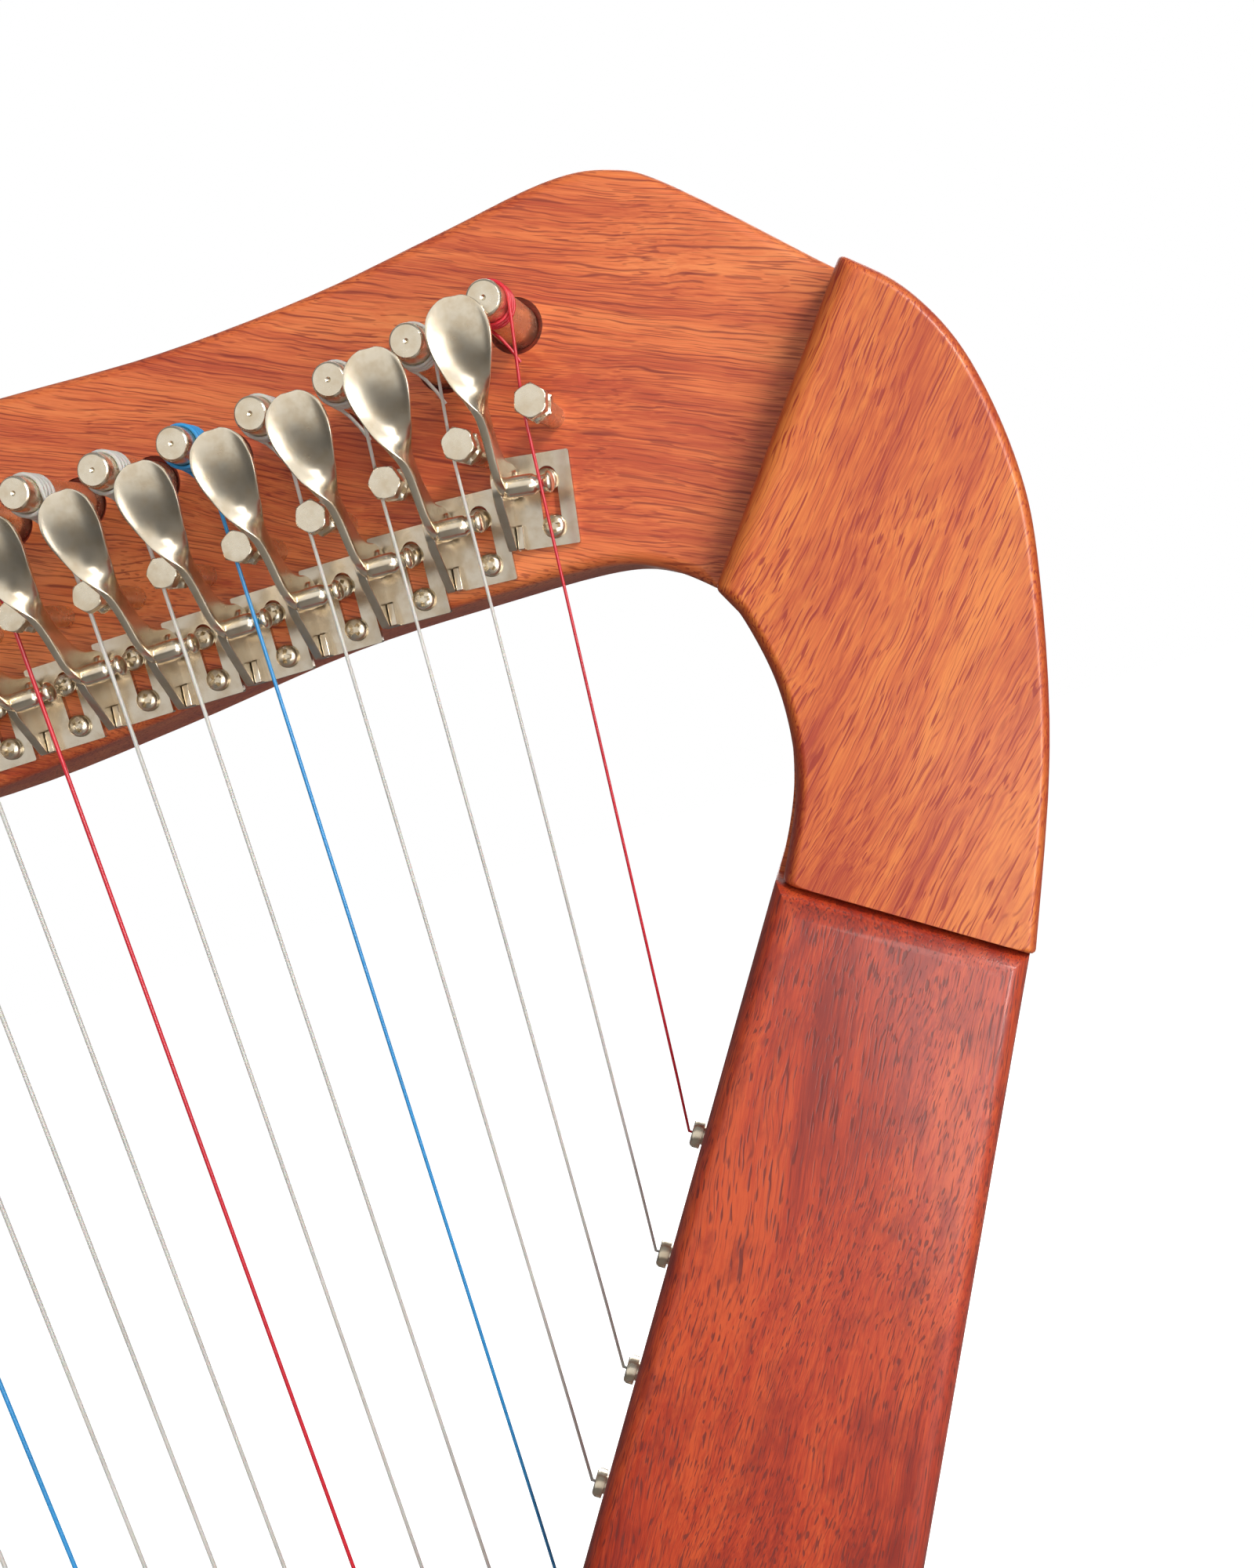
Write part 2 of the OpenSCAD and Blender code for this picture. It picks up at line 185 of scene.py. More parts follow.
def make_piece(name, bm, materials, body, replaced=(), sharp=35, weighted=True):
    """Turns a bmesh into a smooth-shaded piece with its materials and body."""
    mesh = bpy.data.meshes.new(name)
    bmesh.ops.recalc_face_normals(bm, faces=bm.faces)
    bm.to_mesh(mesh)
    bm.free()
    for material in materials:
        mesh.materials.append(material)
    mesh.polygons.foreach_set("use_smooth", [True] * len(mesh.polygons))
    mesh.set_sharp_from_angle(angle=math.radians(sharp))
    piece = bpy.data.objects.new(name, mesh)
    bpy.context.scene.collection.objects.link(piece)
    if weighted:
        modifier = piece.modifiers.new("flat_faces", "WEIGHTED_NORMAL")
        modifier.keep_sharp = True
    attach(piece, body)
    if replaced:
        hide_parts(*replaced)
    return piece


def add_loft(bm, rings):
    """Skins a list of equal rings of points and closes both ends. Returns the rings' vertices."""
    rows = [[bm.verts.new(point) for point in ring] for ring in rings]
    for a, b in zip(rows, rows[1:]):
        for (a0, a1), (b0, b1) in zip(sides(a), sides(b)):
            bm.faces.new((a0, a1, b1, b0))
    bm.faces.new(list(reversed(rows[0])))
    bm.faces.new(rows[-1])
    return rows


def add_lathe(bm, profile, place, segments=32, radius_at=None):
    """Turns a profile of (radius, height) round the Z axis of a placing matrix."""
    rings = []
    for radius, height in profile:
        ring = []
        for i in range(segments):
            angle = math.tau * i / segments
            r = radius_at(radius, height, angle) if radius_at else radius
            ring.append(place @ Vector((r * math.cos(angle), r * math.sin(angle), height)))
        rings.append(ring)
    add_loft(bm, rings)


def in_mm(profile):
    """A profile that is given in mm."""
    return [(radius * MM, height * MM) for radius, height in profile]


def add_tube(bm, path, radius, segments=10):
    """A round tube along a path of points."""
    normal = (path[1] - path[0]).orthogonal().normalized()
    rings = []
    for i, point in enumerate(path):
        before, after = path[max(i - 1, 0)], path[min(i + 1, len(path) - 1)]
        heading = (after - before).normalized()
        normal = (normal - heading * normal.dot(heading)).normalized()
        side = heading.cross(normal)
        rings.append([point + radius * (math.cos(a) * normal + math.sin(a) * side)
                      for a in (math.tau * k / segments for k in range(segments))])
    add_loft(bm, rings)


def round_uprights(bm, outline, rows, corner):
    """Rounds the upright edges at the sharp corners of a block that was lofted from an outline."""
    count = len(outline)
    sharp = [i for i in range(count)
             if corner_turn(outline[i - 1], outline[i], outline[(i + 1) % count]) > SHARP_TURN]
    uprights = []
    for i in sharp:
        edges = [edge for row, above in zip(rows, rows[1:]) for edge in row[i].link_edges
                 if edge.other_vert(row[i]) is above[i]]
        uprights.append((corner(outline[i]), edges))
    for width, edges in uprights:
        bmesh.ops.bevel(bm, geom=edges, offset=width, segments=3, profile=0.5, affect="EDGES",
                        clamp_overlap=True)


def add_rounded_block(bm, outline, z0, z1, place, r0, r1, weight=None, steps=6, corner=None):
    """A flat block with rounded rims. outline is 2-D, z0 to z1 its thickness, r0 and r1 the radius of the rim
    at each face, weight gives an outline side's share of that radius, and corner gives the rounding of the
    upright edge at a sharp corner of the outline."""
    area = sum(a.x * b.y - b.x * a.y for a, b in sides(outline))
    if area < 0:
        outline = list(reversed(outline))
    outline = thin_outline(outline, 1.25 * max(r0, r1))
    weights = [weight(a, b) if weight else 1.0 for a, b in sides(outline)]

    def rim(radius, z, towards):
        rings = []
        for k in range(steps + 1):
            angle = math.pi / 2 * k / steps
            inset = radius * (1 - math.sin(angle))
            ring = inset_outline(outline, [w * inset for w in weights])
            depth = radius * (1 - math.cos(angle))
            rings.append([place @ Vector((p.x, p.y, z + towards * depth)) for p in ring])
        return rings

    def plain(z):
        return [[place @ Vector((p.x, p.y, z)) for p in outline]]
    rings = rim(r0, z0, 1) if r0 else plain(z0)
    rings += list(reversed(rim(r1, z1, -1))) if r1 else plain(z1)
    rows = add_loft(bm, rings)
    if corner:
        round_uprights(bm, outline, rows, corner)


def cut(bm, cutters):
    """bm minus the solids in cutters, done by the exact Boolean. The cut faces take material 1."""
    meshes = []
    for source in (bm, cutters):
        bmesh.ops.recalc_face_normals(source, faces=source.faces)
        mesh = bpy.data.meshes.new("work")
        source.to_mesh(mesh)
        source.free()
        mesh.materials.append(None)
        mesh.materials.append(None)
        meshes.append(mesh)
    body, tool = (bpy.data.objects.new("work", mesh) for mesh in meshes)
    for work in (body, tool):
        bpy.context.scene.collection.objects.link(work)
    modifier = body.modifiers.new("cut", "BOOLEAN")
    modifier.object = tool
    modifier.operation = "DIFFERENCE"
    modifier.solver = "EXACT"
    modifier.use_self = True
    graph = bpy.context.evaluated_depsgraph_get()
    result = bmesh.new()
    result.from_mesh(body.evaluated_get(graph).to_mesh())
    for work, mesh in zip((body, tool), meshes):
        bpy.data.objects.remove(work)
        bpy.data.meshes.remove(mesh)
    return result


# ---------- materials ----------

def new_material(name):
    material = bpy.data.materials.new(name)
    material.use_nodes = True
    tree = material.node_tree
    return material, tree, tree.nodes["Principled BSDF"]


class Net:
    """Short calls for building a node tree."""

    def __init__(self, tree):
        self.tree = tree

    def node(self, kind, inputs=None, **settings):
        node = self.tree.nodes.new(kind)
        for key, value in settings.items():
            setattr(node, key, value)
        for key, value in (inputs or {}).items():
            self.set(node.inputs[key], value)
        return node

    def set(self, socket, value):
        if isinstance(value, bpy.types.NodeSocket):
            self.tree.links.new(value, socket)
        else:
            socket.default_value = value

    def math(self, operation, a, b=0.0):
        node = self.node("ShaderNodeMath", operation=operation)
        self.set(node.inputs[0], a)
        self.set(node.inputs[1], b)
        return node.outputs[0]

    def smooth(self, value, low, high):
        """0 below low, 1 above high, smooth between."""
        node = self.node("ShaderNodeMapRange", {"Value": value, "From Min": low, "From Max": high},
                         interpolation_type="SMOOTHSTEP")
        return node.outputs["Result"]

    def mix(self, factor, a, b):
        node = self.node("ShaderNodeMix", data_type="RGBA")
        self.set(node.inputs["Factor"], factor)
        self.set(node.inputs[6], a)
        self.set(node.inputs[7], b)
        return node.outputs[2]

    def stretch(self, vector, scale):
        return self.node("ShaderNodeVectorMath", {0: vector, 1: scale}, operation="MULTIPLY").outputs[0]

    def noise(self, vector, detail=3.0, rough=0.55):
        node = self.node("ShaderNodeTexNoise", {"Vector": vector, "Scale": 1.0, "Detail": detail,
                                                "Roughness": rough})
        return node.outputs["Fac"]

    def place(self, scale):
        """The point on the object, with its metres scaled on each axis."""
        return self.stretch(self.node("ShaderNodeTexCoord").outputs["Object"], scale)

    def bump(self, height, strength, distance):
        node = self.node("ShaderNodeBump", {"Height": height, "Strength": strength, "Distance": distance})
        return node.outputs[0]


def colour(red, green, blue):
    """A linear colour from 0-255 display values."""
    def linear(v):
        v /= 255
        return v / 12.92 if v <= 0.04045 else ((v + 0.055) / 1.055) ** 2.4
    return (linear(red), linear(green), linear(blue), 1.0)


def wood(name, grain, light, mid, dark, pore_and_rim_shade, lines=(30.0, 1.3, 0.6), dashes=(6.0, 0.35, 0.5),
         blotch=0.25, gloss=0.34, coat=0.4, edge=0.0, seed=0.0):
    """Stained and lacquered open-grained wood, whose grain runs along a direction. lines are long thin growth
    lines, given as length, spacing and strength, and dashes are open pores, given as length, width and
    strength, all in mm. blotch is how strongly dark patches show, and edge how far faces that don't look
    along Y are darkened towards the colour of the pores: partly deeper stain on end grain, partly painted
    shade on the rims and sides."""
    material, tree, shader = new_material(name)
    net = Net(tree)
    x = Vector(grain).normalized()
    y = Vector((0, 1, 0)).cross(x).normalized()
    turn = Matrix((x, x.cross(y), y)).to_euler()
    place = net.node("ShaderNodeTexCoord").outputs["Object"]
    aligned = net.node("ShaderNodeMapping", {"Vector": place, "Rotation": turn,
                                             "Scale": (1000, 1000, 1000)}).outputs[0]
    shift = net.node("ShaderNodeVectorMath", {0: aligned, 1: (seed, seed, seed)}, operation="ADD").outputs[0]
    # Slow waves that bend the grain, and a little wobble
    wave = net.noise(net.stretch(shift, (0.012, 0.03, 0.03)), detail=1.0)
    wobble = net.noise(net.stretch(shift, (0.09, 0.12, 0.12)), detail=2.0)
    drift = net.math("ADD", net.math("MULTIPLY", wave, 14.0), net.math("MULTIPLY", wobble, 0.9))
    offset = net.node("ShaderNodeCombineXYZ", {"X": 0.0, "Y": drift, "Z": drift}).outputs[0]
    grainy = net.node("ShaderNodeVectorMath", {0: shift, 1: offset}, operation="ADD").outputs[0]

    def streaks(length, width, detail=2.0, rough=0.5):
        return net.noise(net.stretch(grainy, (1 / length, 1 / width, 1 / width)), detail, rough)

    # Stain tone: broad ribbons, bands and fine fibres
    ribbon = streaks(90.0, 14.0)
    band = streaks(70.0, 2.6, 3.0, 0.6)
    fibre = streaks(14.0, 0.28, 2.0, 0.6)
    tone = net.math("ADD", net.math("MULTIPLY", ribbon, 0.7), net.math("MULTIPLY", band, 0.5))
    tone = net.math("ADD", tone, net.math("MULTIPLY", fibre, 0.5))
    ramp = net.node("ShaderNodeValToRGB", {"Fac": net.math("SUBTRACT", tone, 0.35)})
    ramp.color_ramp.elements[0].position = 0.33
    ramp.color_ramp.elements[0].color = dark
    ramp.color_ramp.elements[1].position = 0.67
    ramp.color_ramp.elements[1].color = light
    ramp.color_ramp.elements.new(0.5).color = mid
    # Growth lines: parallel, bent a little, and fading in and out along their length
    length, spacing, line_strength = lines
    layer = net.node("ShaderNodeSeparateXYZ", {0: grainy})
    depth = net.math("ADD", layer.outputs["Z"], net.math("MULTIPLY", layer.outputs["Y"], 0.35))
    bend = streaks(length, spacing * 4, 2.0)
    phase = net.math("ADD", net.math("DIVIDE", depth, spacing), net.math("MULTIPLY", bend, 4.0))
    saw = net.math("MULTIPLY", net.math("FRACT", phase), 2.0)
    ridge = net.math("ABSOLUTE", net.math("SUBTRACT", saw, 1.0))
    fade = net.smooth(streaks(length * 0.5, spacing * 1.2, 1.0), 0.36, 0.64)
    line_mask = net.math("MULTIPLY", net.smooth(ridge, 0.6, 0.98), fade)
    # Pores: short dashes, gathered in patches
    length, width, dash_strength = dashes
    dash = streaks(length, width * 2.0, 0.0)
    crowd = net.noise(net.stretch(shift, (0.03, 0.09, 0.09)), 2.0)
    limit = net.math("SUBTRACT", 0.70, net.math("MULTIPLY", crowd, 0.16))
    dash_mask = net.smooth(dash, limit, net.math("ADD", limit, 0.10))
    patch = net.smooth(net.noise(net.stretch(shift, (0.10, 0.22, 0.22)), 4.0, 0.65), 0.46, 0.72)
    base = net.mix(net.math("MULTIPLY", patch, blotch), ramp.outputs[0], dark)
    base = net.mix(net.math("MULTIPLY", line_mask, line_strength), base, pore_and_rim_shade)
    base = net.mix(net.math("MULTIPLY", dash_mask, dash_strength), base, pore_and_rim_shade)
    # Painted shade and deeper stain: faces that don't look along Y are darkened towards the colour of the
    # pores
    if edge:
        facing = net.node("ShaderNodeSeparateXYZ", {0: net.node("ShaderNodeNewGeometry").outputs["Normal"]})
        turned = net.smooth(net.math("ABSOLUTE", facing.outputs["Y"]), 0.9, 0.3)
        base = net.mix(net.math("MULTIPLY", turned, edge), base, pore_and_rim_shade)
    net.set(shader.inputs["Base Color"], base)
    pits = net.math("ADD", net.math("MULTIPLY", line_mask, 0.4), dash_mask)
    rough = net.math("ADD", gloss, net.math("MULTIPLY", pits, 0.12))
    net.set(shader.inputs["Roughness"], net.math("ADD", rough, net.math("MULTIPLY", fibre, 0.08)))
    height = net.math("SUBTRACT", net.math("MULTIPLY", fibre, 0.2), pits)
    net.set(shader.inputs["Normal"], net.bump(height, 0.3, 0.05 * MM))
    shader.inputs["Coat Weight"].default_value = coat
    shader.inputs["Coat Roughness"].default_value = 0.13
    net.set(shader.inputs["Coat Normal"], net.bump(height, 0.16, 0.05 * MM))
    return material


def nickel(name, tint, rough, grain=0.05, scratches=0.2):
    """Nickel plate: faint cloudy stains, fine scratches and uneven polish."""
    material, tree, shader = new_material(name)
    net = Net(tree)
    scaled = net.place((1000, 1000, 1000))
    cloud = net.noise(net.stretch(scaled, (0.35, 0.35, 0.35)), detail=4.0)
    fine = net.noise(net.stretch(scaled, (6.0, 6.0, 6.0)), detail=3.0)
    streak = net.noise(net.stretch(scaled, (0.6, 9.0, 2.2)), detail=3.0)
    warm = tuple(c * s for c, s in zip(tint[:3], (0.86, 0.80, 0.72))) + (1.0,)
    net.set(shader.inputs["Base Color"], net.mix(net.smooth(cloud, 0.35, 0.75), tint, warm))
    shader.inputs["Metallic"].default_value = 1.0
    level = net.math("ADD", rough, net.math("MULTIPLY", cloud, 0.10))
    level = net.math("ADD", level, net.math("MULTIPLY", streak, scratches * 0.3))
    net.set(shader.inputs["Roughness"], level)
    height = net.math("ADD", net.math("MULTIPLY", fine, 0.4), net.math("MULTIPLY", streak, 0.6))
    net.set(shader.inputs["Normal"], net.bump(height, grain, 0.05 * MM))
    return material


def nylon(name, tint, clear=0.0):
    """Drawn nylon: slightly cloudy along its length, with a soft sheen."""
    material, tree, shader = new_material(name)
    net = Net(tree)
    cloud = net.noise(net.place((300, 300, 60)), detail=2.0)
    darker = tuple(c * 0.7 for c in tint[:3]) + (1.0,)
    net.set(shader.inputs["Base Color"], net.mix(cloud, tint, darker))
    shader.inputs["Roughness"].default_value = 0.3
    shader.inputs["Transmission Weight"].default_value = clear
    shader.inputs["IOR"].default_value = 1.5
    shader.inputs["Subsurface Weight"].default_value = 0.15
    shader.inputs["Subsurface Scale"].default_value = 0.5 * MM
    return material


def rubber(name):
    """Black rubber, finely pitted."""
    material, tree, shader = new_material(name)
    net = Net(tree)
    speck = net.noise(net.place((1500, 1500, 1500)), detail=2.0)
    net.set(shader.inputs["Base Color"], net.mix(speck, (0.018, 0.018, 0.018, 1), (0.05, 0.05, 0.05, 1)))
    shader.inputs["Roughness"].default_value = 0.75
    net.set(shader.inputs["Normal"], net.bump(speck, 0.3, 0.1 * MM))
    return material


def slope(degrees):
    """A direction in the plane of the strings, in degrees from +X towards +Z."""
    angle = math.radians(degrees)
    return (math.cos(angle), 0.0, math.sin(angle))


def repaint(node, material):
    """Gives a CAD node that is shown as it is another material."""
    nodes[node].data.materials.clear()
    nodes[node].data.materials.append(material)


BOARD_ANGLE = 57.0      # the soundboard's rise, from +X
NECK_ANGLE = -27        # the grain's fall along the neck
# edge darkens the rims and sides: partly deeper stain on end grain, partly painted shade
neck_wood = wood("neck_wood", slope(NECK_ANGLE), colour(224, 128, 70), colour(210, 106, 54),
                 colour(178, 72, 36), colour(122, 30, 12), lines=(30.0, 1.0, 0.8), dashes=(10.0, 0.13, 0.55),
                 blotch=0.2, gloss=0.42, coat=0.12, edge=0.3)
cheek_wood = wood("cheek_wood", slope(47), colour(218, 124, 52), colour(202, 98, 40), colour(164, 54, 22),
                  colour(146, 34, 8), lines=(14.0, 0.85, 0.65), dashes=(6.0, 0.17, 0.9), blotch=0.4,
                  gloss=0.42, coat=0.12, edge=0.6, seed=31.0)
box_wood = wood("box_wood", slope(BOARD_ANGLE + 2), colour(195, 76, 30), colour(174, 52, 18),
                colour(132, 28, 10), colour(98, 22, 13), lines=(14.0, 0.8, 0.6), dashes=(4.0, 0.15, 0.8),
                blotch=0.75, gloss=0.4, coat=0.32, edge=0.2, seed=67.0)
board_wood = wood("board_wood", slope(BOARD_ANGLE), colour(208, 100, 60), colour(190, 76, 44),
                  colour(162, 50, 28), colour(116, 32, 18), lines=(60.0, 1.2, 0.5), gloss=0.36, coat=0.3,
                  seed=12.0)
pillar_wood = wood("pillar_wood", slope(90), colour(214, 110, 66), colour(200, 88, 50), colour(172, 58, 34),
                   colour(122, 34, 18), lines=(40.0, 1.0, 0.65), gloss=0.4, coat=0.2, seed=90.0)
base_wood = wood("base_wood", slope(0), colour(210, 104, 62), colour(196, 82, 46), colour(166, 54, 32),
                 colour(116, 30, 16), lines=(40.0, 1.0, 0.65), gloss=0.4, coat=0.2, seed=150.0)
inner_wood = wood("inner_wood", slope(BOARD_ANGLE), colour(226, 190, 140), colour(214, 174, 124),
                  colour(190, 146, 98), colour(160, 116, 76), lines=(80.0, 1.2, 0.5), dashes=(8.0, 0.3, 0.2),
                  blotch=0.1, gloss=0.6, coat=0.0)
# The bores' cut wood: partly deeper stain on end grain, partly painted shade in the recesses round the tuning
# pins
bore_wood_and_shade = wood("bore_wood_and_shade", slope(NECK_ANGLE), colour(150, 56, 38), colour(122, 40, 26),
                    colour(90, 26, 18), colour(60, 16, 10), lines=(12.0, 0.9, 0.5), gloss=0.4, coat=0.3)
pin_nickel = nickel("pin_nickel", colour(228, 219, 200), 0.2, grain=0.02)
lever_nickel = nickel("lever_nickel", colour(236, 226, 206), 0.17, grain=0.03)
plate_nickel = nickel("plate_nickel", colour(206, 197, 181), 0.12, grain=0.06, scratches=0.4)
string_paint = {
    "red": nylon("red_nylon", colour(212, 40, 58)),
    "blue": nylon("blue_nylon", colour(56, 156, 224)),
    "clear": nylon("clear_nylon", colour(236, 236, 232), clear=0.35)}
foot_rubber = rubber("foot_rubber")


# ---------- woodwork ----------

face_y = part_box("neck")[0].y
neck_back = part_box("neck")[1].y
side_view = Matrix(((1, 0, 0, 0), (0, 0, 1, 0), (0, 1, 0, 0), (0, 0, 0, 1)))    # from x, z and y to x, y, z


def side_outline(node, level):
    """The outline of a node's flat face at a level of Y, as points of x and z."""
    return [Vector((p.x, p.z)) for p in flat_outline(node, 1, level)]


def step_line():
    """The cheeks' long straight edge across the neck, from bottom to top."""
    outline = side_outline("shoulder_cheeks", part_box("shoulder_cheeks")[0].y)
    ends = max(sides(outline), key=lambda pair: (pair[0] - pair[1]).length)
    return sorted(ends, key=lambda p: p.y)


tuner_joints = [joints[name] for name in sorted(joints) if name.startswith("tuning_pin")]
lever_joints = [joints[name] for name in sorted(joints) if name.startswith("lever")]
tuner_places = [Vector(joint["pos_m"]) for joint in tuner_joints]
pillar_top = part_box("pillar")[1].z
pin_low, pin_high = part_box("tuning_pin_01")
PIN_R = (pin_high.x - pin_low.x) / 2
RUN_GAP = 0.05 * MM         # between a tuning pin and its bore
NECK_RIM = 2.5 * MM         # radii of the rounded rims
CHEEK_RIM = 4.2 * MM
PILLAR_RIM = 6 * MM
BASE_RIMS = (2 * MM, 6 * MM)
BOX_RIM = 4.5 * MM


def build_neck():
    """The neck's board, with countersunk bores for the tuning pins."""
    outline = eased_outline(side_outline("neck", face_y))
    step = step_line()
    fade = 4 * MM           # how far before the cheeks the rim starts to sharpen

    def weight(a, b):
        # The joint with the pillar and the part held between the cheeks stay square
        on_pillar = abs(a.y - pillar_top) < NEAR and abs(b.y - pillar_top) < NEAR
        middle = (a + b) / 2
        side = (middle - step[0]).cross(step[1] - step[0])
        in_cheeks = side / (step[1] - step[0]).length
        return 0.0 if on_pillar else 1 - min(max((in_cheeks + fade) / fade, 0), 1)
    bm = bmesh.new()
    add_rounded_block(bm, outline, face_y, neck_back, side_view, NECK_RIM, NECK_RIM, weight)
    bores = bmesh.new()
    for place in tuner_places:
        point_away = Matrix.Translation((place.x, 0, place.z)) @ Matrix.Rotation(math.pi / 2, 4, "X")
        front, back = -face_y, -neck_back
        profile = [(PIN_R + RUN_GAP, back - MM), (PIN_R + RUN_GAP, front - 1.2 * MM),
                   (PIN_R + 0.95 * MM, front - 0.5 * MM), (PIN_R + 1.15 * MM, front + MM)]
        add_lathe(bores, profile, point_away, segments=32)
    # The bores take the darker wood, which paints shade into the recesses
    for face in bores.faces:
        face.material_index = 1
    bm = cut(bm, bores)
    make_piece("neck_board", bm, [neck_wood, bore_wood_and_shade], HARP, ["neck"])


def build_cheeks():
    """The two shoulder cheeks. Their long edges are well rounded, and the seam with the box stays sharp."""
    low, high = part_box("shoulder_cheeks")
    outline = eased_outline(side_outline("shoulder_cheeks", low.y))
    bottom, top = min(p.y for p in outline), max(p.y for p in outline)
    curve_side = 20 * MM        # the sides along the curves are shorter than this, the straight ones longer
    crown = 10 * MM             # the height of the part round the upper corner

    def weight(a, b):
        if (a - b).length < curve_side:
            return 0.5
        at_seam = min(a.y, b.y) < bottom + NEAR
        return 0.1 if at_seam else 0.9

    def corner(point):
        return 3.5 * MM if point.y > top - crown else 0.8 * MM
    for name, y0, y1, r0, r1 in (("cheek_front", low.y, face_y, CHEEK_RIM, 0),
                                 ("cheek_back", neck_back, high.y, 0, CHEEK_RIM)):
        bm = bmesh.new()
        add_rounded_block(bm, outline, y0, y1, side_view, r0, r1, weight, steps=8, corner=corner)
        make_piece(name, bm, [cheek_wood], HARP, ["shoulder_cheeks"])


def build_pillar():
    """The pillar, rounded along its length and square where it meets the neck and the base."""
    low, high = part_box("pillar")
    outline = eased_outline(side_outline("pillar", low.y))

    def weight(a, b):
        level = abs(a.y - b.y) < NEAR
        return 0.0 if level and min(abs(a.y - low.z), abs(a.y - high.z)) < NEAR else 1.0
    bm = bmesh.new()
    add_rounded_block(bm, outline, low.y, high.y, side_view, PILLAR_RIM, PILLAR_RIM, weight)
    make_piece("pillar_post", bm, [pillar_wood], HARP, ["pillar"])


def build_base():
    low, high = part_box("base")
    outline = eased_outline([Vector((p.x, p.y)) for p in flat_outline("base", 2, high.z)])
    bm = bmesh.new()
    add_rounded_block(bm, outline, low.z, high.z, Matrix.Identity(4), *BASE_RIMS)
    make_piece("base_board", bm, [base_wood], HARP, ["base"])


def build_soundbox():
    """The box's sides with rounded outer edges. The other parts of the box keep their CAD shape."""
    base_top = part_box("base")[1].z

    def outer_rim(edge):
        faces = edge.link_faces
        if len(faces) != 2:
            return False
        outward = [abs(face.normal.y) > 0.9 and face.normal.y * face.calc_center_median().y > 0
                   for face in faces]
        on_base = all(vert.co.z < base_top + NEAR for vert in edge.verts)
        return any(outward) and not on_base
    bm = merged_copy("soundbox_sides")
    bmesh.ops.dissolve_limit(bm, angle_limit=math.radians(0.2), verts=bm.verts, edges=bm.edges)
    edges = [edge for edge in bm.edges if outer_rim(edge)]
    bmesh.ops.bevel(bm, geom=edges, offset=BOX_RIM, segments=6, profile=0.5, affect="EDGES",
                    clamp_overlap=True)
    make_piece("soundbox_side_panels", bm, [box_wood], HARP, ["soundbox_sides"])
    repaint("soundboard", board_wood)
    repaint("soundbox_back", box_wood)
    repaint("soundbox_frame", inner_wood)


# ---------- hardware ----------

bridge_boxes = island_boxes("bridge_pins")
ferrule_boxes = island_boxes("string_ferrules")
HEX_T = 2.1 * MM            # a bridge pin's head, from its top down to the string's groove
GROOVE_HALF = 1.15 * MM     # half the groove's width
COLLAR_T = 1.5 * MM         # the hexagon below the groove
into_board = Vector((math.sin(math.radians(BOARD_ANGLE)), 0, -math.cos(math.radians(BOARD_ANGLE))))


def out_of_neck(place, turn=0.0):
    """A matrix whose Z leaves the neck's string side, with its origin on the neck's face."""
    return (Matrix.Translation((place.x, face_y, place.z)) @ Matrix.Rotation(math.pi / 2, 4, "X")
            @ Matrix.Rotation(turn, 4, "Z"))


def string_height(box):
    """How far a string lies above the neck's face where it passes its bridge pin."""
    return face_y - box[0].y - HEX_T - GROOVE_HALF


def bridge_place(box):
    return Vector(((box[0].x + box[1].x) / 2, 0, (box[0].z + box[1].z) / 2))


def build_bridge_pins():
    """Pins with a hexagonal head and collar, and the string's groove between them."""
    bm = bmesh.new()
    hex_r, shank_r, groove_r = 2.9 * MM, 1.95 * MM, 1.6 * MM
    round_below = 2.0 * MM
    sector = math.tau / 6

    def hexagon(radius, height, angle):
        if radius <= round_below:
            return radius
        edge = hex_r * math.cos(sector / 2) / math.cos((angle % sector) - sector / 2)
        return min(radius, edge)
    for index, box in enumerate(bridge_boxes):
        level = string_height(box)
        top, under = level + GROOVE_HALF + HEX_T, level - GROOVE_HALF
        profile = [(1.2 * MM, -6 * MM), (shank_r, -5.6 * MM), (shank_r, under - COLLAR_T - 0.01 * MM),
                   (2.5 * MM, under - COLLAR_T), (hex_r, under - COLLAR_T + 0.2 * MM),
                   (hex_r, under - 0.2 * MM), (2.5 * MM, under), (groove_r, under + 0.1 * MM),
                   (groove_r, under + 2 * GROOVE_HALF - 0.1 * MM), (2.5 * MM, under + 2 * GROOVE_HALF),
                   (hex_r, under + 2 * GROOVE_HALF + 0.2 * MM), (hex_r, top - 0.3 * MM),
                   (2.65 * MM, top - 0.1 * MM), (2.45 * MM, top), (0.1 * MM, top)]
        turn = math.radians(12 + 17 * (index % 3))
        add_lathe(bm, profile, out_of_neck(bridge_place(box), turn), segments=36, radius_at=hexagon)
    make_piece("bridge_pin_row", bm, [pin_nickel], HARP, ["bridge_pins"], sharp=30)


def build_ferrules():
    """Turned eyelets in the soundboard, each with a rounded collar that stands 2 mm proud."""
    bm = bmesh.new()
    profile = in_mm([(1.75, 4.0), (1.75, -2.0), (2.6, -2.05), (2.65, -3.3), (2.35, -3.85), (2.0, -4.0),
                     (1.35, -3.95), (1.05, -3.6), (1.0, 4.0)])
    for box in ferrule_boxes:
        centre = (box[0] + box[1]) / 2
        place = Matrix.Translation(centre) @ into_board.to_track_quat("Z", "Y").to_matrix().to_4x4()
        add_lathe(bm, profile, place, segments=28)
    make_piece("ferrule_row", bm, [pin_nickel], HARP, ["string_ferrules"])


TUNER_TIP_R = 2.9 * MM
TUNER_REACH = face_y - pin_low.y


def tuner_radius(height):
    """A tuning pin's radius at a height above the neck's face."""
    return PIN_R + (TUNER_TIP_R - PIN_R) * max(height, 0) / TUNER_REACH


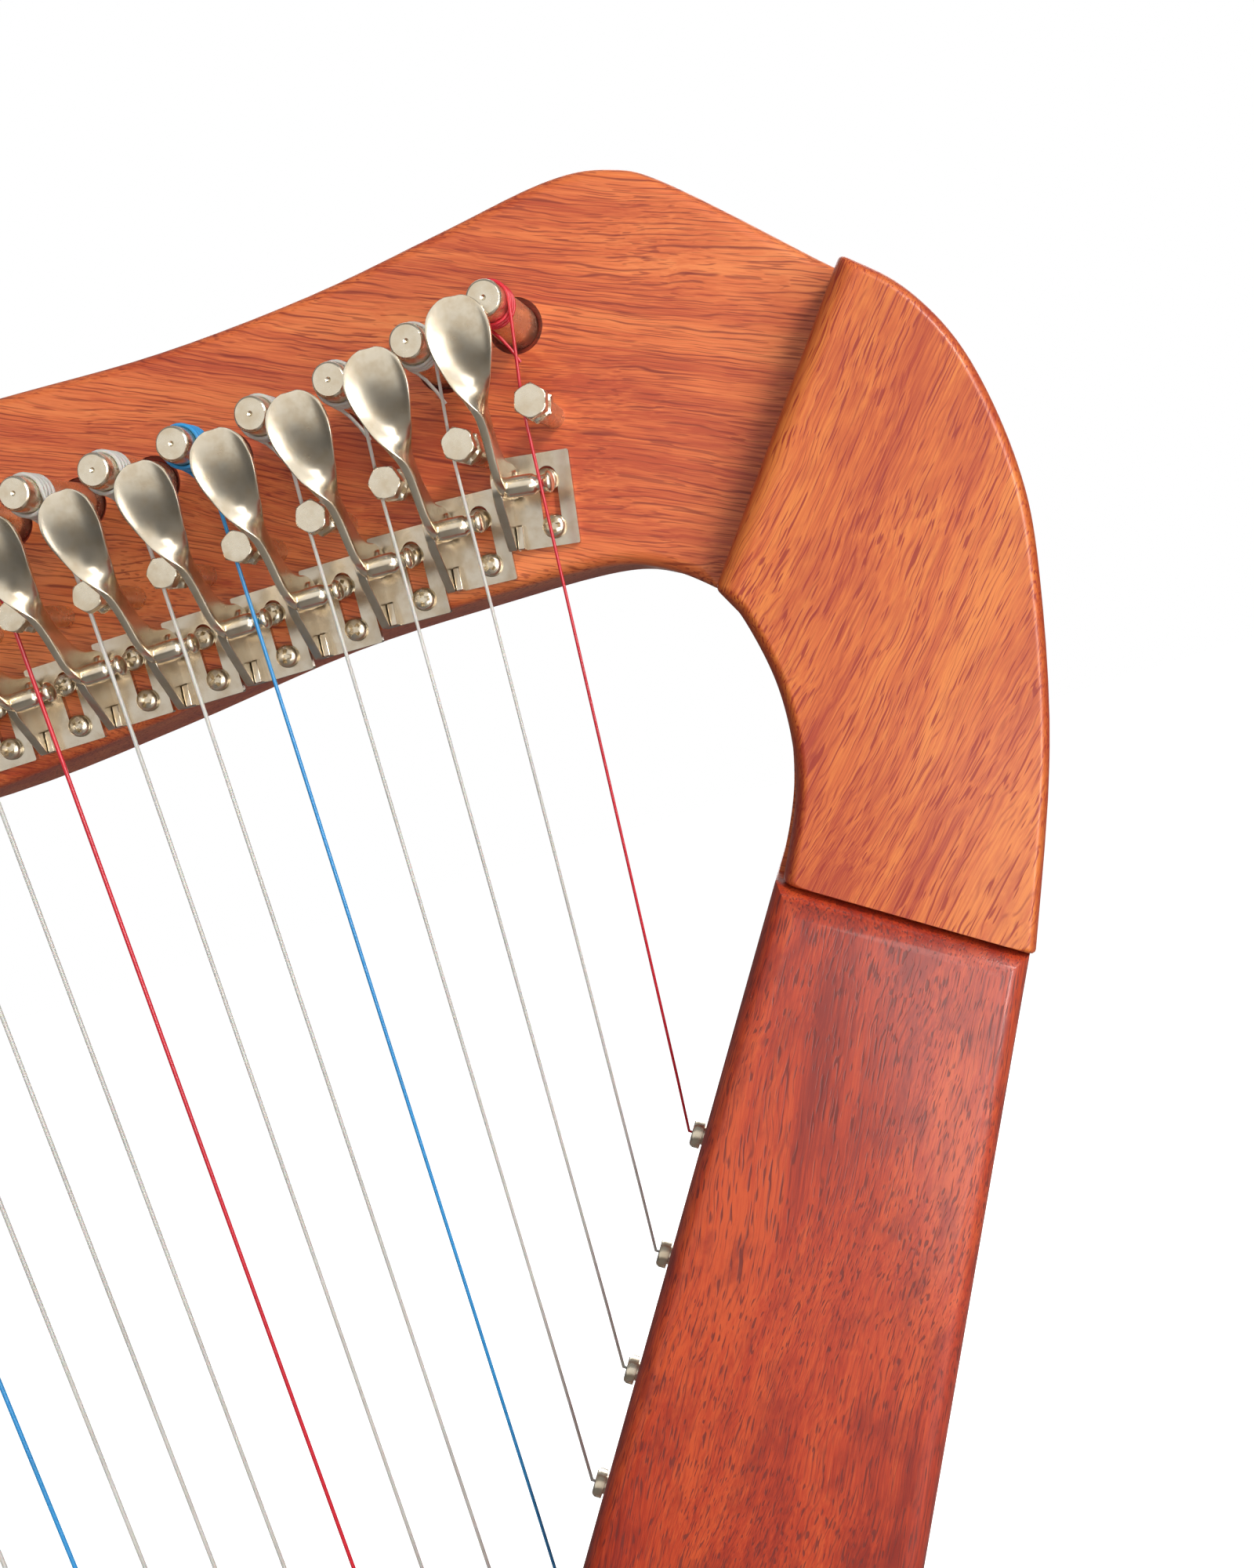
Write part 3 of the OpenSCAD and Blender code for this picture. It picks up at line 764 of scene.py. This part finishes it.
def build_tuning_pins():
    """Tapered pins with a dimpled tip in front of the neck and a square for the key behind it."""
    reach = TUNER_REACH
    tail = pin_high.y - face_y
    thickness = neck_back - face_y
    half_square = 2.5 * MM
    square_starts = -thickness - 5.2 * MM

    def section(radius, height, angle):
        if height > square_starts:
            return radius
        flat_r = half_square / max(abs(math.cos(angle)), abs(math.sin(angle)))
        return min(radius, flat_r)
    profile = [(1.8 * MM, -tail), (3.0 * MM, -tail + 0.2 * MM), (3.4 * MM, -tail + 0.9 * MM),
               (3.4 * MM, square_starts - 0.1 * MM), (3.45 * MM, square_starts),
               (PIN_R, -thickness - 4.8 * MM), (PIN_R, 0), (tuner_radius(reach * 0.5), reach * 0.5),
               (tuner_radius(reach - 0.5 * MM), reach - 0.5 * MM), (2.75 * MM, reach - 0.18 * MM),
               (2.5 * MM, reach), (0.45 * MM, reach), (0.05 * MM, reach - 0.3 * MM)]
    for index, place in enumerate(tuner_places):
        bm = bmesh.new()
        name = "tuning_pin_%02d" % (index + 1)
        add_lathe(bm, profile, out_of_neck(place, math.radians(37 * index)), segments=40, radius_at=section)
        make_piece("pin_%02d" % (index + 1), bm, [pin_nickel], name, [name], sharp=28)


PIVOT = (1.7 * MM, 4.6 * MM)        # the rivet, up and out from where the string crosses the bar
ARM_X = -6.45 * MM                  # middle of the arm, across the string
BAR_OUT = 10.75 * MM                # the bar's axis, from the neck's face


def lever_frame(joint):
    """X across the string, Y up it and Z out of the neck, from where the string crosses the lever's bar."""
    across = Vector(joint["axis"]).normalized()
    out = Vector((0, -1, 0))
    up = out.cross(across)
    origin = Vector(joint["pos_m"]) - PIVOT[0] * up - PIVOT[1] * out
    return Matrix((
        (across.x, up.x, out.x, origin.x),
        (across.y, up.y, out.y, origin.y),
        (across.z, up.z, out.z, origin.z),
        (0, 0, 0, 1)))


def spline(points, steps):
    """A smooth curve through points of any dimension."""
    out = []
    last = len(points) - 1
    for i in range(last):
        a, b, c, d = points[max(i - 1, 0)], points[i], points[i + 1], points[min(i + 2, last)]
        for k in range(steps):
            t = k / steps
            out.append([(2 * q + (r - p) * t + (2 * p - 5 * q + 4 * r - s) * t * t
                         + (3 * q - p - 3 * r + s) * t ** 3) / 2 for p, q, r, s in zip(a, b, c, d)])
    out.append(list(points[last]))
    return out


# Stations along a lever, from below the rivet to the spoon's end, in mm: up, out, across,
# half width, half thickness, twist in degrees and depth of the dish.
LEVER_STATIONS = [
    (0.9, 1.7, -6.45, 1.2, 0.78, 0, 0), (1.3, 2.5, -6.45, 2.4, 0.8, 0, 0), (1.7, 4.6, -6.45, 3.0, 0.8, 0, 0),
    (1.7, 7.4, -6.45, 3.0, 0.8, 0, 0), (1.9, 10.4, -6.45, 3.2, 0.8, 0, 0), (3.4, 12.9, -6.45, 3.0, 0.8, 0, 0),
    (6.0, 15.0, -6.45, 2.3, 0.8, 0, 0), (9.0, 16.9, -6.45, 2.05, 0.8, 0, 0),
    (11.6, 18.6, -6.5, 2.1, 0.8, -8, 0), (13.7, 20.0, -6.65, 2.5, 0.75, -42, 0.2),
    (15.8, 21.3, -6.85, 3.3, 0.7, -76, 0.6), (18.0, 22.4, -6.95, 4.2, 0.65, -88, 1.1),
    (20.4, 23.4, -7.0, 4.95, 0.62, -90, 1.4), (22.9, 24.1, -7.0, 5.2, 0.62, -90, 1.5),
    (25.2, 24.3, -7.0, 4.66, 0.62, -90, 1.25), (26.5, 24.15, -7.0, 3.75, 0.62, -90, 0.85),
    (27.4, 23.95, -7.0, 2.6, 0.6, -90, 0.45), (27.95, 23.8, -7.0, 1.3, 0.5, -90, 0.15)]


def lever_mesh():
    """A lever of flat bar that twists into a spoon, with its fretting bar and its rivet's inner head."""
    bm = bmesh.new()
    stations = spline(LEVER_STATIONS, 3)
    points, squareness = 20, 0.3        # of the section, which is a rectangle with round corners
    rings = []
    for i, (up, out, across, half_w, half_t, twist, dome) in enumerate(stations):
        before, after = stations[max(i - 1, 0)], stations[min(i + 1, len(stations) - 1)]
        heading = Vector((0, after[0] - before[0], after[1] - before[1])).normalized()
        lie = Vector((0, heading.z, -heading.y))         # across the path, in its plane, towards the neck
        turn = Matrix.Rotation(math.radians(twist), 3, heading)
        width_dir = turn @ lie
        thick_dir = turn @ Vector((-1, 0, 0))
        centre = Vector((across, up, out))
        ring = []
        for k in range(points):
            a = math.tau * k / points
            x = math.copysign(abs(math.cos(a)) ** squareness, math.cos(a))
            y = math.copysign(abs(math.sin(a)) ** squareness, math.sin(a))
            lift = dome * (1 - x * x)
            ring.append((centre + width_dir * half_w * x + thick_dir * (half_t * y + lift)) * MM)
        rings.append(ring)
    add_loft(bm, rings)
    # Fretting bar: a turned pin with a groove for the string and a rounded end
    along_x = Matrix.Translation((ARM_X, 0, BAR_OUT)) @ Matrix.Rotation(math.pi / 2, 4, "Y")
    bar = [(1.4, 0), (1.8, 0.4), (1.8, 5.0), (1.65, 5.2), (1.25, 5.6), (1.2, 6.45), (1.25, 7.1), (1.65, 7.35),
           (1.8, 7.5), (1.75, 7.8), (1.5, 8.15), (1.0, 8.38), (0.1, 8.45)]
    add_lathe(bm, in_mm(bar), along_x, segments=28)
    # The rivet's head on the string's side of the arm
    rivet = Matrix.Translation((0, PIVOT[0], PIVOT[1])) @ Matrix.Rotation(math.pi / 2, 4, "Y")
    head = [(1.9, -5.8), (1.9, -5.45), (1.7, -5.15), (1.2, -5.0), (0.1, -4.95)]
    add_lathe(bm, in_mm(head), rivet, segments=24)
    return bm


def build_levers():
    """One piece for each lever, on the lever's own body."""
    for index, joint in enumerate(lever_joints):
        bm = lever_mesh()
        bm.transform(lever_frame(joint))
        name = "lever_%02d" % (index + 1)
        piece = make_piece("flip_lever_%02d" % (index + 1), bm, [lever_nickel], name, [name],
                           sharp=40, weighted=False)
        piece.modifiers.new("smooth", "SUBSURF").render_levels = 1


def plate_ring(x0, x1, y0, y1, r, steps=4):
    """A rectangle with round corners."""
    ring = []
    for cx, cy, start in ((x1 - r, y1 - r, 0), (x0 + r, y1 - r, 90),
                          (x0 + r, y0 + r, 180), (x1 - r, y0 + r, 270)):
        for k in range(steps + 1):
            a = math.radians(start + 90 * k / steps)
            ring.append(Vector((cx + r * math.cos(a), cy + r * math.sin(a))))
    return ring


def add_holed_plate(bm, outer, hole, z0, z1):
    """A flat plate with one hole through it."""
    edges = []
    for ring in (outer, hole):
        verts = [bm.verts.new((p.x, p.y, z0)) for p in ring]
        edges += [bm.edges.new(ends) for ends in sides(verts)]
    made = bmesh.ops.triangle_fill(bm, edges=edges, use_beauty=True)
    faces = [g for g in made["geom"] if isinstance(g, bmesh.types.BMFace)]
    grown = bmesh.ops.extrude_face_region(bm, geom=faces)
    moved = [g for g in grown["geom"] if isinstance(g, bmesh.types.BMVert)]
    bmesh.ops.translate(bm, verts=moved, vec=(0, 0, z1 - z0))


def bracket_mesh():
    """A slotted plate with a flange that carries the rivet and a tab that stops the lever. Made in mm."""
    bm = bmesh.new()
    sheet, edge_r = 1.0, 0.2
    outer = plate_ring(-8.3, 3.2, -9.6, 6.2, 0.35)
    slot = plate_ring(-2.6, 0.6, -7.9, 3.9, 1.59, steps=8)
    add_holed_plate(bm, outer, slot, 0, sheet)
    upright = Matrix(((0, 0, 1, 0), (1, 0, 0, 0), (0, 1, 0, 0), (0, 0, 0, 1)))
    flange = [(-9.6, 0.1), (4.4, 0.1), (4.0, 5.2), (3.4, 8.0), (2.6, 9.1),
              (1.4, 9.4), (-0.6, 9.1), (-2.4, 8.5), (-9.2, 3.5), (-9.6, 3.1)]
    add_rounded_block(bm, [Vector(p) for p in flange], -8.9, -7.3, upright, edge_r, edge_r, steps=3)
    stop = [(-9.6, 0.1), (-5.4, 0.1), (-5.4, 2.3), (-5.7, 2.6), (-9.4, 3.2), (-9.6, 3.0)]
    add_rounded_block(bm, [Vector(p) for p in stop], -7.2, -6.0, upright, edge_r, edge_r, steps=3)
    rivet = Matrix.Translation((0, PIVOT[0] / MM, PIVOT[1] / MM)) @ Matrix.Rotation(math.pi / 2, 4, "Y")
    add_lathe(bm, [(0.4, -9.75), (1.3, -9.65), (1.8, -9.35), (1.95, -8.95), (1.95, -8.8), (0.4, -8.7)], rivet,
              segments=24)
    bm.transform(Matrix.Scale(MM, 4))
    return bm


def screw_mesh():
    """Pan-head screw with a cross recess, standing on its plate. Made in mm."""
    bm = bmesh.new()
    profile = [(1.0, -6.0), (1.0, 0.6), (1.0, 1.02), (1.95, 1.02), (2.05, 1.35),
               (1.95, 1.75), (1.65, 2.15), (1.15, 2.4), (0.5, 2.5), (0.05, 2.51)]
    add_lathe(bm, profile, Matrix.Identity(4), segments=32)
    cross = bmesh.new()
    rings = []
    for level, length, width in ((1.6, 0.6, 0.26), (2.1, 1.1, 0.34), (2.7, 1.5, 0.42)):
        arm = [Vector((length, -width, level)), Vector((length, width, level)), Vector((width, width, level))]
        turns = [Matrix.Rotation(math.pi / 2 * quarter, 4, "Z") for quarter in range(4)]
        rings.append([turn @ point for turn in turns for point in arm])
    add_loft(cross, rings)
    bm = cut(bm, cross)
    bmesh.ops.remove_doubles(bm, verts=bm.verts, dist=0.001)
    for face in bm.faces:
        face.material_index = 0
    bm.transform(Matrix.Scale(MM, 4))
    return bm


def add_copies(target, source, matrices):
    """Copies one mesh many times into target."""
    mesh = bpy.data.meshes.new("copy")
    source.to_mesh(mesh)
    source.free()
    for matrix in matrices:
        before = len(target.verts)
        target.from_mesh(mesh)
        target.verts.ensure_lookup_table()
        bmesh.ops.transform(target, matrix=matrix, verts=target.verts[before:])
    bpy.data.meshes.remove(mesh)


SCREW_PLACES = ((-1.1 * MM, 1.4 * MM), (-0.8 * MM, -6.3 * MM))      # in the plate's slot


def on_face(place):
    """A lever's frame, moved so that its Z starts at the neck's face."""
    lifted = place.copy()
    lifted.translation.y = face_y
    return lifted


def build_brackets():
    """One bracket and two screws for each lever. Each screw's cross is turned its own way."""
    places = [on_face(lever_frame(joint)) for joint in lever_joints]
    bm = bmesh.new()
    add_copies(bm, bracket_mesh(), places)
    make_piece("bracket_row", bm, [plate_nickel], HARP, ["lever_brackets"], sharp=30)
    screws = bmesh.new()
    matrices = []
    for index, place in enumerate(places):
        for spot, (x, y) in enumerate(SCREW_PLACES):
            turn = Matrix.Rotation(math.radians(23 + 41 * index + 67 * spot), 4, "Z")
            matrices.append(place @ Matrix.Translation((x, y, 0)) @ turn)
    add_copies(screws, screw_mesh(), matrices)
    make_piece("screw_row", screws, [pin_nickel], HARP, ["lever_screws"], sharp=40)


# ---------- strings ----------

COIL_START = 18.3 * MM          # heights above the neck's face
COIL_END = 14.4 * MM
COIL_GAP = 0.05 * MM            # between the coil and its pin
LOOSE_END = ((1.0, 0.1, -1.0), (1.9, 0.3, -2.4), (2.8, 0.6, -4.4), (3.6, 1.0, -6.8))    # mm from the coil


def string_radius(index):
    """Strings get thicker towards the bass."""
    return (0.27 + 0.015 * index) * MM


def string_colour(index):
    """Every seventh string is red, and the fourth after a red one is blue."""
    return "red" if index % 7 == 0 else "blue" if index % 7 == 4 else "clear"


def string_path(index):
    """From a string's knot behind the soundboard, past its bridge pin and round its tuning pin."""
    r = string_radius(index)
    ferrule = (ferrule_boxes[index][0] + ferrule_boxes[index][1]) / 2
    mouth = ferrule - 4.5 * MM * into_board
    bridge = bridge_place(bridge_boxes[index])
    level = string_height(bridge_boxes[index])
    rise = Vector((bridge.x - mouth.x, 0, bridge.z - mouth.z)).normalized()
    left = Vector((-rise.z, 0, rise.x))
    at_bridge = bridge + left * (1.65 * MM + r)
    at_bridge.y = face_y - level
    # The coil starts on the pin's right side, winds towards the neck and leaves a loose end below
    axis = tuner_places[index]
    wrap_r = tuner_radius(COIL_START) + r + 0.06 * MM
    reach = Vector((axis.x - at_bridge.x, 0, axis.z - at_bridge.z))
    first = math.atan2(reach.z, reach.x) - math.asin(wrap_r / reach.length) - math.pi / 2
    swept = math.tau * 3 + math.pi * 1.25 - first
    path = [ferrule + 6 * MM * into_board, ferrule + 0.5 * MM * into_board, mouth - 0.1 * MM * into_board]
    path += [mouth.lerp(at_bridge, k / 12) for k in range(1, 12)]
    path.append(at_bridge)
    steps = int(swept * 4.5)
    for k in range(steps + 1):
        angle = first + swept * k / steps
        height = COIL_START + (COIL_END - COIL_START) * k / steps
        wrap = tuner_radius(height) + r + COIL_GAP
        path.append(Vector((axis.x + wrap * math.cos(angle), face_y - height,
                            axis.z + wrap * math.sin(angle))))
    last = path[-1]
    path += [last + Vector(step) * MM for step in LOOSE_END]
    return path


def build_strings():
    """The strings of each colour as one piece, each with a knot at its lower end."""
    bundles = {key: bmesh.new() for key in string_paint}
    for index in range(len(tuner_places)):
        bm = bundles[string_colour(index)]
        path = string_path(index)
        add_tube(bm, path, string_radius(index), segments=12)
        knot = Matrix.Translation(path[0] + (path[0] - path[1]).normalized() * 1.2 * MM)
        bmesh.ops.create_icosphere(bm, subdivisions=3, radius=1.7 * MM, matrix=knot)
    for key, bm in bundles.items():
        node = "strings_" + key
        make_piece("nylon_" + key, bm, [string_paint[key]], HARP, [node], sharp=60,
                   weighted=False)


# ---------- build ----------

build_neck()
build_cheeks()
build_pillar()
build_base()
build_soundbox()
build_bridge_pins()
build_ferrules()
build_tuning_pins()
build_levers()
build_brackets()
build_strings()
repaint("rubber_feet", foot_rubber)


# ---------- studio ----------

def area_light(name, place, target, size, power, tint):
    """A rectangular lamp that looks at target and that the camera doesn't see."""
    lamp = bpy.data.lights.new(name, "AREA")
    lamp.shape = "RECTANGLE"
    lamp.size, lamp.size_y = size
    lamp.energy = power
    lamp.color = tint
    light = bpy.data.objects.new(name, lamp)
    light.location = place
    light.rotation_euler = (Vector(target) - Vector(place)).to_track_quat("-Z", "Y").to_euler()
    bpy.context.scene.collection.objects.link(light)
    light.visible_camera = False
    return light


def build_floor():
    """White paper under the harp."""
    bm = bmesh.new()
    bmesh.ops.create_grid(bm, x_segments=2, y_segments=2, size=6.0)
    mesh = bpy.data.meshes.new("floor")
    bm.to_mesh(mesh)
    bm.free()
    floor = bpy.data.objects.new("floor", mesh)
    floor.location = (0, 0, cad_box[0].z - 0.2 * MM)
    material, tree, shader = new_material("floor_paper")
    net = Net(tree)
    speck = net.noise(net.place((40, 40, 40)))
    # The paper glows for the camera only, so it reads as white right up to the horizon without lighting
    # the harp from below
    seen = net.node("ShaderNodeLightPath").outputs["Is Camera Ray"]
    paper = net.mix(speck, (0.86, 0.86, 0.86, 1), (0.9, 0.9, 0.9, 1))
    net.set(shader.inputs["Base Color"], net.mix(seen, (0.25, 0.24, 0.23, 1), paper))
    shader.inputs["Roughness"].default_value = 0.7
    shader.inputs["Emission Color"].default_value = (1, 1, 1, 1)
    net.set(shader.inputs["Emission Strength"], net.math("MULTIPLY", seen, 0.8))
    mesh.materials.append(material)
    bpy.context.scene.collection.objects.link(floor)


def build_lights():
    """Soft lamps round the harp's treble shoulder, at places measured from it."""
    high = cad_box[1]
    top = Vector((high.x - 0.05, 0, high.z - 0.1))
    area_light("key", top + Vector((0.95, -0.78, 0.5)), top, (0.3, 0.3), 12, (1.0, 0.97, 0.92))
    beside, below_top = top + Vector((0.86, -0.80, -0.45)), top + Vector((0, 0, -0.1))
    area_light("window", beside, below_top, (0.12, 1.5), 8, (1.0, 0.97, 0.95))
    # A glint on the polished edges, which adds nothing to the wood's own light
    glint = area_light("glint", beside, below_top, (0.14, 1.5), 22, (1.0, 0.95, 0.9))
    glint.visible_diffuse = False
    area_light("near", top + Vector((0.13, -0.56, -0.21)), top, (0.22, 0.22), 0.8, (1.0, 0.97, 0.94))
    area_light("front", top + Vector((-0.2, -1.5, 0.45)), top, (2.8, 1.4), 9, (1.0, 0.97, 0.93))
    area_light("back", (0.2, 1.4, 1.2), (0, 0, 0.4), (1.2, 1.2), 16, (1.0, 1.0, 1.0))


def build_sky():
    """White to the camera, and to everything else a dim room that gets lighter overhead."""
    world = bpy.data.worlds.new("studio")
    bpy.context.scene.world = world
    world.use_nodes = True
    net = Net(world.node_tree)
    background = world.node_tree.nodes["Background"]
    sky_way = net.node("ShaderNodeTexCoord").outputs["Generated"]
    heading = net.node("ShaderNodeSeparateXYZ", {0: sky_way})
    rise = net.smooth(heading.outputs["Z"], -0.35, 0.9)
    sky = net.mix(rise, (0.08, 0.075, 0.07, 1), (0.3, 0.3, 0.3, 1))
    camera_ray = net.node("ShaderNodeLightPath").outputs["Is Camera Ray"]
    net.set(background.inputs["Color"], net.mix(camera_ray, sky, (1, 1, 1, 1)))
    background.inputs["Strength"].default_value = 1.0


def build_camera():
    """Close to the treble end of the neck, turned a little left, tipped down and rolled."""
    camera = bpy.data.cameras.new("camera")
    camera.lens = 32.4
    camera.sensor_width = 36
    camera.clip_start = 0.01
    eye = bpy.data.objects.new("camera", camera)
    treble = tuner_places[0] + Vector((38 * MM, 0, -64.5 * MM))
    distance = 252 * MM
    eye.location = (treble.x, -distance, treble.z)
    heading, tip, roll = math.radians(10.5), math.radians(3.5), math.radians(18.2)
    aim = Euler((math.pi / 2 - tip, 0, heading)).to_matrix()
    eye.rotation_euler = (aim @ Matrix.Rotation(-roll, 3, "Z")).to_euler()
    bpy.context.scene.collection.objects.link(eye)
    bpy.context.scene.camera = eye


build_floor()
build_lights()
build_sky()
build_camera()
bpy.context.scene.view_settings.view_transform = "Standard"
